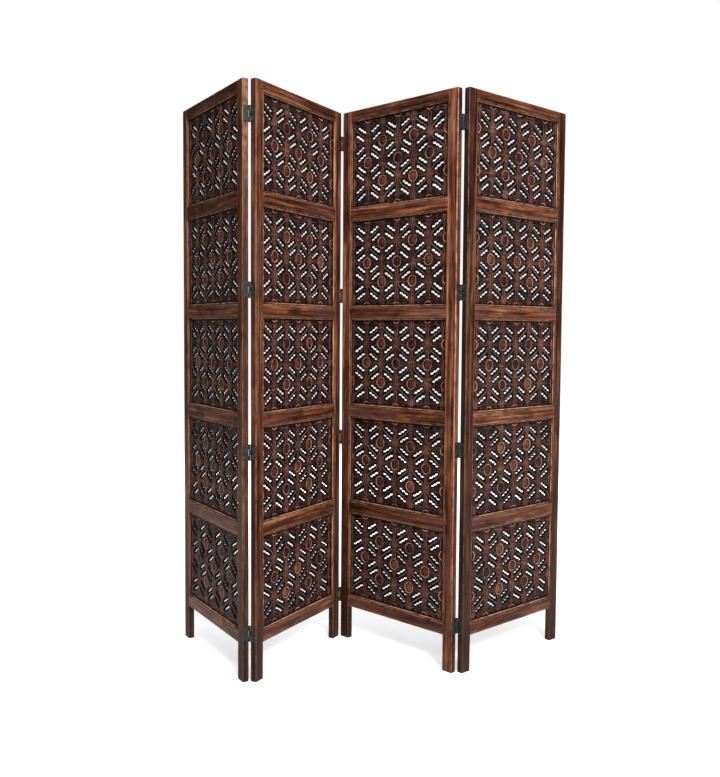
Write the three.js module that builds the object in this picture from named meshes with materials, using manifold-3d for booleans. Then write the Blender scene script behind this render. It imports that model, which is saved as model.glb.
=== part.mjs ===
// Four-leaf folding screen of solid wood, standing in a zigzag on its own legs.
// Millimetres, +Z up, floor at z = 0, the origin under the middle of the box.
// Each leaf is a frame of two stiles and six rails with five pierced panels held in its grooves.
// The leaves hang together on small steel butt hinges, four on each fold.
import * as THREE from 'three';
import { mergeVertices } from 'three/addons/utils/BufferGeometryUtils.js';
import Module from 'manifold-3d';

const wasm = await Module();
wasm.setup();

// ---------------------------------------------------------------- driving dimensions
const LEAF_W = 508;            // width of one leaf
const LEAF_H = 1830;           // height of one leaf, legs included
const LEAF_T = 20;             // thickness of the frame
const STILE_W = 44;            // stile, its inner bead included
const BEAD_W = 6;              // stepped bead along each opening
const BEAD_STEP = 2;           // the bead lies this far below the frame's face
const TOP_RAIL = 38;           // top rail, its one bead included
const MID_RAIL = 50;           // rail between two panels, both beads included
const BOTTOM_RAIL = 43;        // bottom rail, its one bead included
const LEG_H = 116;             // clear height under the bottom rail
const PANELS = 5;              // pierced panels in a leaf
const GROOVE = 6;              // depth of the groove that holds a panel
const PANEL_T = 7;             // panel thickness
const FIT = 0.3;               // play between two touching pieces

const COLS = 6;                // cells across a panel
const ROWS = 4;                // cells down a panel
const CELL_W = 68.4;           // cell width
const CELL_H = 65.6;           // cell height
const SLOT_L = 44;             // length of a slanting slot
const SLOT_W = 20;             // open width in a cell: the two 10 mm slots taken as one
const SLOT_TILT = 31;          // slope of a slot, degrees

const TURN = [-59.3, 61.2, -45.1, 43.0]; // heading of each leaf in plan, degrees

const PIN_OUT = 2.4;           // hinge axis in front of the face that it folds towards
const HALF_GAP = 1.8;          // from the hinge axis to each leaf's edge
const HINGE_H = 50;            // hinge height
const HINGE_Z = { bottom: 150, lower: 711, upper: 1204, top: 1726 }; // hinge centres
const PLATE_T = 1.0;           // hinge plate
const PLATE_W = 16.4;          // plate, across the edge of the leaf
const PLATE_START = 0.6;       // plate starts this far in from the leaf's face
const KNUCKLE_R = 2.6;         // barrel radius
const BORE_R = 1.65;           // hole in the middle knuckle
const PIN_R = 1.15;            // hinge pin
const KNUCKLE = 15.5;          // length of each outer knuckle
const KNUCKLE_GAP = 0.5;       // play between knuckles

// ---------------------------------------------------------------- helpers
const RAD = Math.PI / 180;

// a closed geometry with shared vertices, as a solid for joining and cutting
function solid(geometry) {
  const g = geometry.clone();
  for (const name of Object.keys(g.attributes)) if (name !== 'position') g.deleteAttribute(name);
  const m = mergeVertices(g, 1e-4);
  return new wasm.Manifold(new wasm.Mesh({
    numProp: 3,
    vertProperties: new Float32Array(m.attributes.position.array),
    triVerts: new Uint32Array(m.index.array),
  }));
}

// the solid's surface as a geometry
function surface(man) {
  const mesh = man.getMesh();
  const g = new THREE.BufferGeometry();
  g.setAttribute('position', new THREE.BufferAttribute(new Float32Array(mesh.vertProperties), 3));
  g.setIndex(new THREE.BufferAttribute(new Uint32Array(mesh.triVerts), 1));
  g.computeVertexNormals();
  return g;
}

// block between two corners: s along the leaf, n through its thickness, z up
function block(s0, s1, n0, n1, z0, z1) {
  const g = new THREE.BoxGeometry(s1 - s0, n1 - n0, z1 - z0);
  g.translate((s0 + s1) / 2, (n0 + n1) / 2, (z0 + z1) / 2);
  return g;
}

// an outline in the leaf's face (s, z), pulled through the thickness from n0 to n1
function slab(shape, n0, n1) {
  const g = new THREE.ExtrudeGeometry(shape, { depth: n1 - n0, bevelEnabled: false });
  g.rotateX(Math.PI / 2);
  g.translate(0, n1, 0);
  return g;
}

// an outline in plan (s, n), pulled up from z0 to z1
function column(points, z0, z1) {
  const shape = new THREE.Shape(points.map(([x, y]) => new THREE.Vector2(x, y)));
  const g = new THREE.ExtrudeGeometry(shape, { depth: z1 - z0, bevelEnabled: false });
  g.translate(0, 0, z0);
  return g;
}

const rect = (a, b, c, d) => [[a, c], [b, c], [b, d], [a, d]];

function ring(cx, cy, r, sides = 8) {
  const pts = [];
  for (let i = 0; i < sides; i++) {
    const a = (i + 0.5) * 2 * Math.PI / sides;
    pts.push([cx + r * Math.cos(a), cy + r * Math.sin(a)]);
  }
  return pts;
}

// ---------------------------------------------------------------- materials
const frameWood = () => new THREE.MeshStandardMaterial({ color: 0x5b3525, roughness: 0.55, metalness: 0 });
const panelWood = () => new THREE.MeshStandardMaterial({ color: 0x4a2c24, roughness: 0.65, metalness: 0 });
const hingeSteel = () => new THREE.MeshStandardMaterial({ color: 0x4b4a45, roughness: 0.45, metalness: 0.8 });

// ---------------------------------------------------------------- leaf
const OPEN_W = LEAF_W - 2 * STILE_W;
const OPEN_H = (LEAF_H - LEG_H - BOTTOM_RAIL - TOP_RAIL - (PANELS - 1) * MID_RAIL) / PANELS;

// lower edge of each opening, counted from the top
const openingZ = [];
for (let i = 0; i < PANELS; i++) {
  openingZ.push(LEAF_H - TOP_RAIL - OPEN_H - i * (OPEN_H + MID_RAIL));
}

// frame: stiles and rails glued up as one, with stepped beads and panel grooves
function frameGeometry() {
  const outline = new THREE.Shape();
  outline.moveTo(0, 0);
  outline.lineTo(STILE_W, 0);
  outline.lineTo(STILE_W, LEG_H);
  outline.lineTo(LEAF_W - STILE_W, LEG_H);
  outline.lineTo(LEAF_W - STILE_W, 0);
  outline.lineTo(LEAF_W, 0);
  outline.lineTo(LEAF_W, LEAF_H);
  outline.lineTo(0, LEAF_H);
  outline.closePath();
  for (const z of openingZ) {
    const hole = new THREE.Path();
    hole.moveTo(STILE_W, z);
    hole.lineTo(STILE_W, z + OPEN_H);
    hole.lineTo(STILE_W + OPEN_W, z + OPEN_H);
    hole.lineTo(STILE_W + OPEN_W, z);
    hole.closePath();
    outline.holes.push(hole);
  }
  let body = solid(slab(outline, 0, LEAF_T));
  const mid = LEAF_T / 2;
  const halfGroove = PANEL_T / 2 + FIT;
  for (const z of openingZ) {
    const s0 = STILE_W, s1 = STILE_W + OPEN_W, z1 = z + OPEN_H;
    body = body.subtract(solid(block(s0 - BEAD_W, s1 + BEAD_W, -1, BEAD_STEP, z - BEAD_W, z1 + BEAD_W)));
    body = body.subtract(solid(block(s0 - BEAD_W, s1 + BEAD_W, LEAF_T - BEAD_STEP, LEAF_T + 1, z - BEAD_W, z1 + BEAD_W)));
    body = body.subtract(solid(block(s0 - GROOVE, s1 + GROOVE, mid - halfGroove, mid + halfGroove, z - GROOVE, z1 + GROOVE)));
  }
  return surface(body);
}

// panel: slots slope one way and the other in a chequer, and leave round bosses and waists between them
function panelGeometry(z) {
  const inset = GROOVE - FIT;
  const s0 = STILE_W - inset, s1 = STILE_W + OPEN_W + inset;
  const z0 = z - inset, z1 = z + OPEN_H + inset;
  const shape = new THREE.Shape([[s0, z0], [s1, z0], [s1, z1], [s0, z1]].map(([a, b]) => new THREE.Vector2(a, b)));
  const cs = STILE_W + OPEN_W / 2, cz = z + OPEN_H / 2;
  for (let r = 0; r < ROWS; r++) {
    for (let c = 0; c < COLS; c++) {
      const x = cs + (c - (COLS - 1) / 2) * CELL_W;
      const y = cz - (r - (ROWS - 1) / 2) * CELL_H;
      const a = ((c + r) % 2 === 0 ? -1 : 1) * SLOT_TILT * RAD;
      const ux = Math.cos(a), uy = Math.sin(a);
      const hl = SLOT_L / 2, hw = SLOT_W / 2;
      const corner = (i, j) => new THREE.Vector2(x + i * hl * ux - j * hw * uy, y + i * hl * uy + j * hw * ux);
      shape.holes.push(new THREE.Path([corner(-1, -1), corner(-1, 1), corner(1, 1), corner(1, -1)]));
    }
  }
  return slab(shape, (LEAF_T - PANEL_T) / 2, (LEAF_T + PANEL_T) / 2);
}

// hinge half on one end of a leaf.
// p runs out from the leaf's edge, q runs in from the face beside the pin.
function hingeHalf(end, pinSide, zMid, withPin) {
  const s = (p) => (end === 'right' ? LEAF_W + p : -p);
  const n = (q) => (pinSide === 'back' ? LEAF_T - q : q);
  const map = (pts) => pts.map(([p, q]) => [s(p), n(q)]);
  const z0 = zMid - HINGE_H / 2, z1 = zMid + HINGE_H / 2;
  const plate = rect(FIT, FIT + PLATE_T, PLATE_START, PLATE_START + PLATE_W);
  const tongue = rect(FIT, FIT + PLATE_T, -PIN_OUT, PLATE_START + 1);
  let body = solid(column(map(plate), z0, z1));
  const spans = withPin
    ? [[z0, z0 + KNUCKLE], [z1 - KNUCKLE, z1]]
    : [[z0 + KNUCKLE + KNUCKLE_GAP, z1 - KNUCKLE - KNUCKLE_GAP]];
  for (const [a, b] of spans) {
    body = body.add(solid(column(map(tongue), a, b)));
    body = body.add(solid(column(map(ring(HALF_GAP, -PIN_OUT, KNUCKLE_R)), a, b)));
  }
  if (withPin) body = body.add(solid(column(map(ring(HALF_GAP, -PIN_OUT, PIN_R)), z0 + 1, z1 - 1)));
  else body = body.subtract(solid(column(map(ring(HALF_GAP, -PIN_OUT, BORE_R)), z0, z1)));
  return surface(body);
}

// ---------------------------------------------------------------- assembly
// each fold's axis lies PIN_OUT in front of the face that it folds towards
const group = new THREE.Group();
const leaves = TURN.map((deg) => {
  const t = deg * RAD;
  return { t, u: new THREE.Vector2(Math.cos(t), Math.sin(t)), n: new THREE.Vector2(-Math.sin(t), Math.cos(t)), at: null };
});
const pinAt = (leaf, end, side) => new THREE.Vector2()
  .addScaledVector(leaf.u, end === 'right' ? LEAF_W + HALF_GAP : -HALF_GAP)
  .addScaledVector(leaf.n, side === 'back' ? LEAF_T + PIN_OUT : -PIN_OUT);
const folds = [{ name: '12', side: 'back' }, { name: '23', side: 'front' }, { name: '34', side: 'back' }];
leaves[0].at = new THREE.Vector2(0, 0);
folds.forEach((fold, i) => {
  fold.axis = leaves[i].at.clone().add(pinAt(leaves[i], 'right', fold.side));
  leaves[i + 1].at = fold.axis.clone().sub(pinAt(leaves[i + 1], 'left', fold.side));
});

leaves.forEach((leaf, i) => {
  const g = new THREE.Group();
  g.position.set(leaf.at.x, leaf.at.y, 0);
  g.rotation.z = leaf.t;
  const frame = new THREE.Mesh(frameGeometry(), frameWood());
  frame.name = `leaf_${i + 1}_frame`;
  g.add(frame);
  openingZ.forEach((z, k) => {
    const panel = new THREE.Mesh(panelGeometry(z), panelWood());
    panel.name = `leaf_${i + 1}_panel_${k + 1}`;
    g.add(panel);
  });
  for (const [place, z] of Object.entries(HINGE_Z)) {
    if (i > 0) {
      const half = new THREE.Mesh(hingeHalf('left', folds[i - 1].side, z, false), hingeSteel());
      half.name = `hinge_${folds[i - 1].name}_${place}_right_plate`;
      g.add(half);
    }
    if (i < folds.length) {
      const half = new THREE.Mesh(hingeHalf('right', folds[i].side, z, true), hingeSteel());
      half.name = `hinge_${folds[i].name}_${place}_left_plate`;
      g.add(half);
    }
  }
  group.add(g);
});

// set the box's middle over the origin, feet on the floor
group.updateMatrixWorld(true);
const box = new THREE.Box3().setFromObject(group, true);
group.position.set(-(box.min.x + box.max.x) / 2, -(box.min.y + box.max.y) / 2, 0);

export default group;
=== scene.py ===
import bpy
import bmesh
import math
import numpy as np
from mathutils import Matrix, Vector
from mathutils.geometry import delaunay_2d_cdt


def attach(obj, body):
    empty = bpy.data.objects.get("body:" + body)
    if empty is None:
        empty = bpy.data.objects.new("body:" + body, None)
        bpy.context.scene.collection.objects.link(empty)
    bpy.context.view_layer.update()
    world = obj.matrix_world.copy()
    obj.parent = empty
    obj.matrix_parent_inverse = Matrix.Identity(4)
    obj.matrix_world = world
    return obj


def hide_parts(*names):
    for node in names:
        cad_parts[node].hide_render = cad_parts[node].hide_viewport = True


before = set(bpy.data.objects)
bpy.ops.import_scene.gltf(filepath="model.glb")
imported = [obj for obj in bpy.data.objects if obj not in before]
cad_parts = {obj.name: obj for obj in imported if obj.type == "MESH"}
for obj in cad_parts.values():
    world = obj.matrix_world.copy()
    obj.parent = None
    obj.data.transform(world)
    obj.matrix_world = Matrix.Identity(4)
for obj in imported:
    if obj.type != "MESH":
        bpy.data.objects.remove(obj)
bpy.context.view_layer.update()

# ------------------------------------------------------------------ sizes, in millimetres as in the CAD
MM = 0.001
LEAF_W, LEAF_H, LEAF_T = 508.0, 1830.0, 20.0
STILE, BEAD = 44.0, 6.0
TOP_RAIL, MID_RAIL, BOTTOM_RAIL, LEG_H = 38.0, 50.0, 43.0, 116.0
OPEN_W = LEAF_W - 2 * STILE
OPEN_H = (LEAF_H - LEG_H - BOTTOM_RAIL - TOP_RAIL - 4 * MID_RAIL) / 5
OPEN_Z = [LEAF_H - TOP_RAIL - OPEN_H - i * (OPEN_H + MID_RAIL) for i in range(5)]
CW, CH = 68.4, 65.6
PLACES = [(-657.272, 206.407, -59.3), (-357.240, -229.723, 61.2), (-106.569, 216.281, -45.1), (285.745, -144.174, 43.0)]
HINGE_Z = {"bottom": 150.0, "lower": 711.0, "upper": 1204.0, "top": 1726.0}
rng = np.random.default_rng(1407)


def leaf_matrix(i):
    x, y, deg = PLACES[i]
    return Matrix.Translation((x * MM, y * MM, 0)) @ Matrix.Rotation(math.radians(deg), 4, "Z")


LEAF_M = [leaf_matrix(i) for i in range(4)]


# ------------------------------------------------------------------ node helpers
class Tree:
    def __init__(self, name):
        self.mat = bpy.data.materials.new(name)
        self.mat.use_nodes = True
        self.nt = self.mat.node_tree
        self.bsdf = self.nt.nodes["Principled BSDF"]

    def node(self, kind, **settings):
        n = self.nt.nodes.new(kind)
        for k, v in settings.items():
            setattr(n, k, v)
        return n

    def link(self, a, b):
        self.nt.links.new(a, b)

    def put(self, socket, value):
        if isinstance(value, bpy.types.NodeSocket):
            self.link(value, socket)
        else:
            socket.default_value = value

    def attribute(self, name):
        return self.node("ShaderNodeAttribute", attribute_name=name)

    def scaled(self, vector, scale):
        m = self.node("ShaderNodeVectorMath", operation="MULTIPLY")
        self.link(vector, m.inputs[0])
        m.inputs[1].default_value = scale
        return m.outputs[0]

    def added(self, vector, other):
        m = self.node("ShaderNodeVectorMath", operation="ADD")
        self.link(vector, m.inputs[0])
        self.put(m.inputs[1], other)
        return m.outputs[0]

    def noise(self, vector, scale=1.0, detail=4.0, rough=0.55, distortion=0.0, out="Fac"):
        n = self.node("ShaderNodeTexNoise")
        self.link(vector, n.inputs["Vector"])
        n.inputs["Scale"].default_value = scale
        n.inputs["Detail"].default_value = detail
        n.inputs["Roughness"].default_value = rough
        n.inputs["Distortion"].default_value = distortion
        return n.outputs[out]

    def math(self, op, a, b=0.0, c=None, clamp=False):
        m = self.node("ShaderNodeMath", operation=op, use_clamp=clamp)
        self.put(m.inputs[0], a)
        self.put(m.inputs[1], b)
        if c is not None:
            self.put(m.inputs[2], c)
        return m.outputs[0]

    def span(self, value, lo, hi, to_lo=0.0, to_hi=1.0):
        m = self.node("ShaderNodeMapRange", clamp=True)
        self.put(m.inputs[0], value)
        for k, v in zip((1, 2, 3, 4), (lo, hi, to_lo, to_hi)):
            m.inputs[k].default_value = v
        return m.outputs[0]

    def ramp(self, value, stops):
        r = self.node("ShaderNodeValToRGB")
        self.put(r.inputs[0], value)
        e = r.color_ramp.elements
        while len(e) < len(stops):
            e.new(0.5)
        for el, (pos, col) in zip(e, stops):
            el.position = pos
            el.color = (*col, 1)
        return r.outputs[0]

    def mix(self, fac, a, b, blend="MIX"):
        m = self.node("ShaderNodeMix", data_type="RGBA", blend_type=blend)
        self.put(m.inputs[0], fac)
        self.put(m.inputs[6], a if isinstance(a, bpy.types.NodeSocket) else (*a, 1))
        self.put(m.inputs[7], b if isinstance(b, bpy.types.NodeSocket) else (*b, 1))
        return m.outputs[2]

    def bump(self, height, strength, distance, normal=None):
        b = self.node("ShaderNodeBump")
        b.inputs["Strength"].default_value = strength
        b.inputs["Distance"].default_value = distance
        self.put(b.inputs["Height"], height)
        if normal is not None:
            self.link(normal, b.inputs["Normal"])
        return b.outputs[0]


# ------------------------------------------------------------------ materials
# every wooden piece carries "g", its own coordinates in metres with x along the grain,
# and "m", where it is worn, hollow, turned or stained, and where highlight and shade are painted on
def frame_wood():
    t = Tree("frame_wood")
    g = t.attribute("g").outputs["Vector"]
    m = t.attribute("m")
    sep = t.node("ShaderNodeSeparateColor")
    t.link(m.outputs["Color"], sep.inputs[0])
    # first channel: wear, and painted highlight on the lips of some beads; second: dirt and dark joints, and painted
    # shade in the quirks, mitred corners and folds; third: each board's tone, with the lip's painted highlight added
    wear_and_highlight, dirt_and_shade, shade = sep.outputs[0], sep.outputs[1], sep.outputs[2]
    bend = t.noise(t.scaled(g, (2.2, 9, 9)), 1.0, 2.0, 0.5, out="Color")
    bent = t.added(g, t.scaled(bend, (0.0, 0.022, 0.022)))
    streak = t.noise(t.scaled(bent, (3.0, 105, 105)), 1.0, 5.0, 0.62)
    fibre = t.noise(t.scaled(g, (26, 900, 900)), 1.0, 3.0, 0.6)
    broad = t.noise(t.scaled(g, (2.6, 14, 14)), 1.0, 3.0, 0.55)
    mottle = t.noise(t.scaled(bent, (8, 40, 40)), 1.0, 4.0, 0.6)
    blotch = t.noise(t.scaled(g, (7.5, 16, 16)), 1.0, 4.0, 0.62)
    tone = t.math("ADD", t.math("ADD", t.math("MULTIPLY", streak, 0.44), t.math("MULTIPLY", mottle, 0.26)),
                  t.math("ADD", t.math("MULTIPLY", broad, 0.22), t.math("MULTIPLY", fibre, 0.08)))
    base = t.ramp(tone, [(0.41, (0.017, 0.0042, 0.0026)), (0.47, (0.060, 0.0160, 0.0075)), (0.53, (0.140, 0.0470, 0.0200)), (0.60, (0.310, 0.1370, 0.0680))])
    base = t.mix(t.span(blotch, 0.51, 0.62, 0.0, 0.50), base, (0.094, 0.036, 0.038))
    base = t.mix(t.span(blotch, 0.36, 0.46, 0.65, 0.0), base, (0.026, 0.0080, 0.0055))
    pore = t.span(fibre, 0.30, 0.42, 0.55, 0.0)
    base = t.mix(pore, base, (0.018, 0.007, 0.005))
    patch = t.noise(t.scaled(g, (38, 60, 60)), 1.0, 4.0, 0.6)
    # wear and the painted highlight on the beads' lips lighten the wood
    rub_and_highlight = t.math("MULTIPLY", wear_and_highlight, t.span(patch, 0.38, 0.60, 0.12, 1.0), clamp=True)
    base = t.mix(t.math("MULTIPLY", rub_and_highlight, 0.80), base, (0.340, 0.185, 0.118))
    # no two members were cut from the same board
    lit = t.node("ShaderNodeVectorMath", operation="SCALE")
    t.link(base, lit.inputs[0])
    t.link(t.span(shade, 0.0, 1.2, 0.45, 1.89), lit.inputs["Scale"])
    # dirt, and painted shade in the quirks, corners and folds, darken the wood to near black
    grime_and_shade = t.math("MULTIPLY", dirt_and_shade, t.span(patch, 0.30, 0.70, 1.0, 0.75), clamp=True)
    base = t.mix(grime_and_shade, lit.outputs[0], (0.010, 0.005, 0.0045))
    t.link(base, t.bsdf.inputs["Base Color"])
    rough = t.math("ADD", t.span(streak, 0.35, 0.65, 0.40, 0.54), t.math("MULTIPLY", grime_and_shade, 0.25))
    t.link(t.math("ADD", rough, t.math("MULTIPLY", rub_and_highlight, 0.06)), t.bsdf.inputs["Roughness"])
    t.bsdf.inputs["Specular IOR Level"].default_value = 0.15
    dents = t.noise(t.scaled(g, (45, 70, 70)), 1.0, 3.0, 0.55)
    h = t.math("ADD", t.math("MULTIPLY", fibre, 0.35), t.math("ADD", t.math("MULTIPLY", streak, 0.35), t.math("MULTIPLY", dents, 0.9)))
    t.link(t.bump(h, 0.6, 0.0010), t.bsdf.inputs["Normal"])
    return t.mat


def panel_wood():
    t = Tree("panel_wood")
    g = t.attribute("g").outputs["Vector"]
    m = t.attribute("m")
    sep = t.node("ShaderNodeSeparateColor")
    t.link(m.outputs["Color"], sep.inputs[0])
    # first channel: stain with painted shade in the hollows, on the slot walls and round the margin; third: wear with
    # painted highlight on crests, rings and lands
    hollow_stain_and_shade, disc, worn_and_highlight = sep.outputs[0], sep.outputs[1], sep.outputs[2]
    stem = m.outputs["Alpha"]
    bend = t.noise(t.scaled(g, (3, 10, 10)), 1.0, 2.0, 0.5, out="Color")
    bent = t.added(g, t.scaled(bend, (0.0, 0.02, 0.02)))
    streak = t.noise(t.scaled(bent, (9, 190, 190)), 1.0, 5.0, 0.62)
    fibre = t.noise(t.scaled(g, (40, 1000, 1000)), 1.0, 3.0, 0.6)
    blotch = t.noise(t.scaled(g, (20, 34, 34)), 1.0, 4.0, 0.62)
    speck = t.noise(t.scaled(g, (110, 170, 170)), 1.0, 3.0, 0.6)
    hue = t.noise(t.scaled(g, (9, 12, 12)), 1.0, 2.0, 0.5)
    tone = t.math("ADD", t.math("ADD", t.math("MULTIPLY", streak, 0.36), t.math("MULTIPLY", speck, 0.26)),
                  t.math("ADD", t.math("MULTIPLY", blotch, 0.30), t.math("MULTIPLY", fibre, 0.08)))
    base = t.ramp(tone, [(0.42, (0.0052, 0.0011, 0.0011)), (0.47, (0.0132, 0.0034, 0.0032)), (0.53, (0.0350, 0.0118, 0.0112)), (0.60, (0.1050, 0.0460, 0.0410))])
    # some panels and spots run redder, others to a cold grey brown
    base = t.mix(t.span(hue, 0.50, 0.64, 0.0, 0.50), base, (0.042, 0.0092, 0.0062))
    base = t.mix(t.span(hue, 0.38, 0.46, 0.40, 0.0), base, (0.017, 0.0090, 0.0115))
    warm = t.ramp(tone, [(0.42, (0.0140, 0.0036, 0.0026)), (0.47, (0.0310, 0.0088, 0.0058)), (0.53, (0.0700, 0.0235, 0.0150)), (0.60, (0.1950, 0.0850, 0.0580))])
    base = t.mix(t.math("MULTIPLY", stem, 0.72), base, warm)
    red = t.ramp(t.math("ADD", t.math("MULTIPLY", hue, 0.72), t.math("MULTIPLY", tone, 0.28)),
                 [(0.40, (0.026, 0.0068, 0.0056)), (0.48, (0.064, 0.0160, 0.0088)), (0.57, (0.120, 0.0370, 0.0165)), (0.68, (0.205, 0.0920, 0.0470))])
    base = t.mix(t.math("MULTIPLY", disc, 0.90), base, red)
    patch = t.noise(t.scaled(g, (60, 80, 80)), 1.0, 4.0, 0.6)
    # wear and painted highlight lighten the crests
    rub_and_highlight = t.math("MULTIPLY", worn_and_highlight, t.span(t.math("ADD", t.math("MULTIPLY", patch, 0.6), t.math("MULTIPLY", hue, 0.4)), 0.40, 0.58, 0.18, 1.0), clamp=True)
    base = t.mix(rub_and_highlight, base, (0.440, 0.265, 0.215))
    # stain and painted shade darken the hollows to near black
    base = t.mix(t.span(hollow_stain_and_shade, 0.03, 0.60, 0.0, 0.97), base, (0.0046, 0.0013, 0.0013))
    t.link(base, t.bsdf.inputs["Base Color"])
    rough = t.math("ADD", t.span(blotch, 0.35, 0.65, 0.46, 0.62), t.math("MULTIPLY", hollow_stain_and_shade, 0.25), clamp=True)
    t.link(rough, t.bsdf.inputs["Roughness"])
    t.bsdf.inputs["Specular IOR Level"].default_value = 0.12
    tool = t.noise(t.scaled(g, (150, 230, 230)), 1.0, 2.5, 0.5)
    h = t.math("ADD", t.math("MULTIPLY", fibre, 0.3), t.math("ADD", t.math("MULTIPLY", streak, 0.3), t.math("MULTIPLY", tool, 1.0)))
    t.link(t.bump(h, 0.7, 0.0010), t.bsdf.inputs["Normal"])
    return t.mat


def hinge_steel():
    t = Tree("hinge_steel")
    co = t.node("ShaderNodeTexCoord").outputs["Object"]
    rust = t.noise(co, 190.0, 5.0, 0.62)
    fine = t.noise(co, 1500.0, 3.0, 0.6)
    base = t.ramp(rust, [(0.38, (0.006, 0.006, 0.006)), (0.50, (0.020, 0.021, 0.020)), (0.60, (0.040, 0.032, 0.024)), (0.70, (0.036, 0.015, 0.008))])
    t.link(base, t.bsdf.inputs["Base Color"])
    t.link(t.span(rust, 0.42, 0.64, 0.60, 0.10), t.bsdf.inputs["Metallic"])
    t.link(t.span(rust, 0.35, 0.70, 0.46, 0.82), t.bsdf.inputs["Roughness"])
    h = t.math("ADD", t.math("MULTIPLY", rust, 0.6), t.math("MULTIPLY", fine, 0.25))
    t.link(t.bump(h, 0.5, 0.0004), t.bsdf.inputs["Normal"])
    return t.mat


FRAME_WOOD, PANEL_WOOD, HINGE_STEEL = frame_wood(), panel_wood(), hinge_steel()
for name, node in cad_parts.items():
    m = HINGE_STEEL if name.startswith("hinge") else (PANEL_WOOD if "panel" in name else FRAME_WOOD)
    node.data.materials.clear()
    node.data.materials.append(m)


# ------------------------------------------------------------------ mesh helpers
def place(name, mesh, leaf, nodes, mat):
    mesh.transform(LEAF_M[leaf])
    mesh.materials.append(mat)
    o = bpy.data.objects.new(name, mesh)
    bpy.context.scene.collection.objects.link(o)
    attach(o, f"leaf_{leaf + 1}")
    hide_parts(*nodes)
    return o


def set_vectors(mesh, name, data):
    a = mesh.attributes.new(name, "FLOAT_VECTOR", "POINT")
    a.data.foreach_set("vector", np.ascontiguousarray(data, np.float32).ravel())


def set_colours(mesh, name, data):
    a = mesh.attributes.new(name, "FLOAT_COLOR", "POINT")
    a.data.foreach_set("color", np.ascontiguousarray(data, np.float32).ravel())


def finish_mesh(mesh, angle=38):
    bm = bmesh.new()
    bm.from_mesh(mesh)
    bmesh.ops.recalc_face_normals(bm, faces=bm.faces)
    bm.to_mesh(mesh)
    bm.free()
    mesh.polygons.foreach_set("use_smooth", [True] * len(mesh.polygons))
    mesh.set_sharp_from_angle(angle=math.radians(angle))


def loft(name, sections, grain, masks, offset):
    """Closed solid through equal rings of points. sections: (levels, ring, 3) in mm; grain: order of axes for g."""
    sec = np.asarray(sections, float)
    k, r, _ = sec.shape
    v = sec.reshape(-1, 3)
    faces = []
    for i in range(k - 1):
        a, b = i * r, (i + 1) * r
        for j in range(r):
            q = (j + 1) % r
            faces.append((a + j, a + q, b + q, b + j))
    faces.append(tuple(range(r - 1, -1, -1)))
    faces.append(tuple(range((k - 1) * r, k * r)))
    mesh = bpy.data.meshes.new(name)
    mesh.from_pydata((v * MM).tolist(), [], faces)
    set_vectors(mesh, "g", v[:, grain] * MM + offset)
    set_colours(mesh, "m", np.tile(np.asarray(masks, float), (k, 1)) if len(masks) == r else masks)
    finish_mesh(mesh)
    return mesh


def member_profile(w, t, soft):
    """Rectangle 0..w by 0..t with rounded arrises. soft gives the rounding at (0,0), (w,0), (w,t), (0,t).
    Returns points and how worn each is."""
    pts, wear_and_highlight = [], []

    def add(p, q):
        pts.append(p)
        wear_and_highlight.append(q)

    inner = 2.6
    corners = [((0, 0), (1, 0), (0, 1)), ((w, 0), (0, 1), (-1, 0)), ((w, t), (-1, 0), (0, -1)), ((0, t), (0, -1), (1, 0))]
    for (cx, cy), out_dir, in_dir in corners:
        rad = soft[corners.index(((cx, cy), out_dir, in_dir))]
        # arrive along -in_dir side, leave along out_dir
        ax, ay = in_dir
        bx, by = out_dir
        add((cx + ax * (rad + inner), cy + ay * (rad + inner)), 0.0)
        for k in range(4):
            f = k / 3 * math.pi / 2
            px = cx + ax * rad * (1 - math.sin(f)) + bx * rad * (1 - math.cos(f))
            py = cy + ay * rad * (1 - math.sin(f)) + by * rad * (1 - math.cos(f))
            add((px, py), 1.0 if k in (1, 2) else 0.75)
        add((cx + bx * (rad + inner), cy + by * (rad + inner)), 0.0)
    return np.array(pts, float), np.array(wear_and_highlight, float)


# ------------------------------------------------------------------ frames
BEAD_SECTION = [  # distance from the stile towards the opening, depth below the face, wear and painted highlight, painted shade in the quirk and where the bead meets the panel
    (0.0, 6.2, 0, 1), (0.0, 4.6, 0, 1), (0.9, 4.2, 0, 1), (1.35, 3.3, 0.1, 0.55), (1.9, 2.6, 0.5, 0.1), (2.7, 2.15, 0.9, 0),
    (3.5, 2.05, 1.0, 0), (4.3, 2.3, 0.9, 0), (5.0, 2.9, 0.6, 0), (5.6, 3.8, 0.3, 0), (5.95, 4.8, 0.1, 0.2), (6.0, 6.2, 0, 0.8),
]


# how dark the outer edge of a stile is painted, stain together with painted shade where the edge stands in a fold, and
# how far it is left lighter near the top
EDGE_LOOK = {(0, "right"): (0.62, 0.85), (3, "left"): (0.80, 0.0), (2, "right"): (0.55, 0.0), (1, "left"): (0.60, 0.0)}


# how light a member's board is, 0 to 1, where it stands out; the rest vary by chance
BOARDS = {(0, "left_stile"): 0.36, (0, "right_stile"): 0.34, (0, "rail_1"): 0.14, (0, "rail_2"): 0.42, (0, "top_rail"): 0.08,
          (1, "left_stile"): 0.34, (1, "right_stile"): 0.34, (1, "rail_2"): 0.52, (1, "top_rail"): 0.34,
          (2, "left_stile"): 0.58, (2, "right_stile"): 1.10, (2, "top_rail"): 0.24, (2, "rail_1"): 0.76, (2, "rail_2"): 0.40,
          (3, "left_stile"): 0.02, (3, "right_stile"): 0.10, (3, "rail_2"): 0.46, (3, "top_rail"): 0.30}


def board(i, name):
    chance = rng.uniform(0.34, 0.56)
    return BOARDS.get((i, name), chance)


def smooth(t):
    t = np.clip(t, 0, 1)
    return t * t * (3 - 2 * t)


def grain_offset():
    return rng.uniform(-3, 3, 3)


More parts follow.
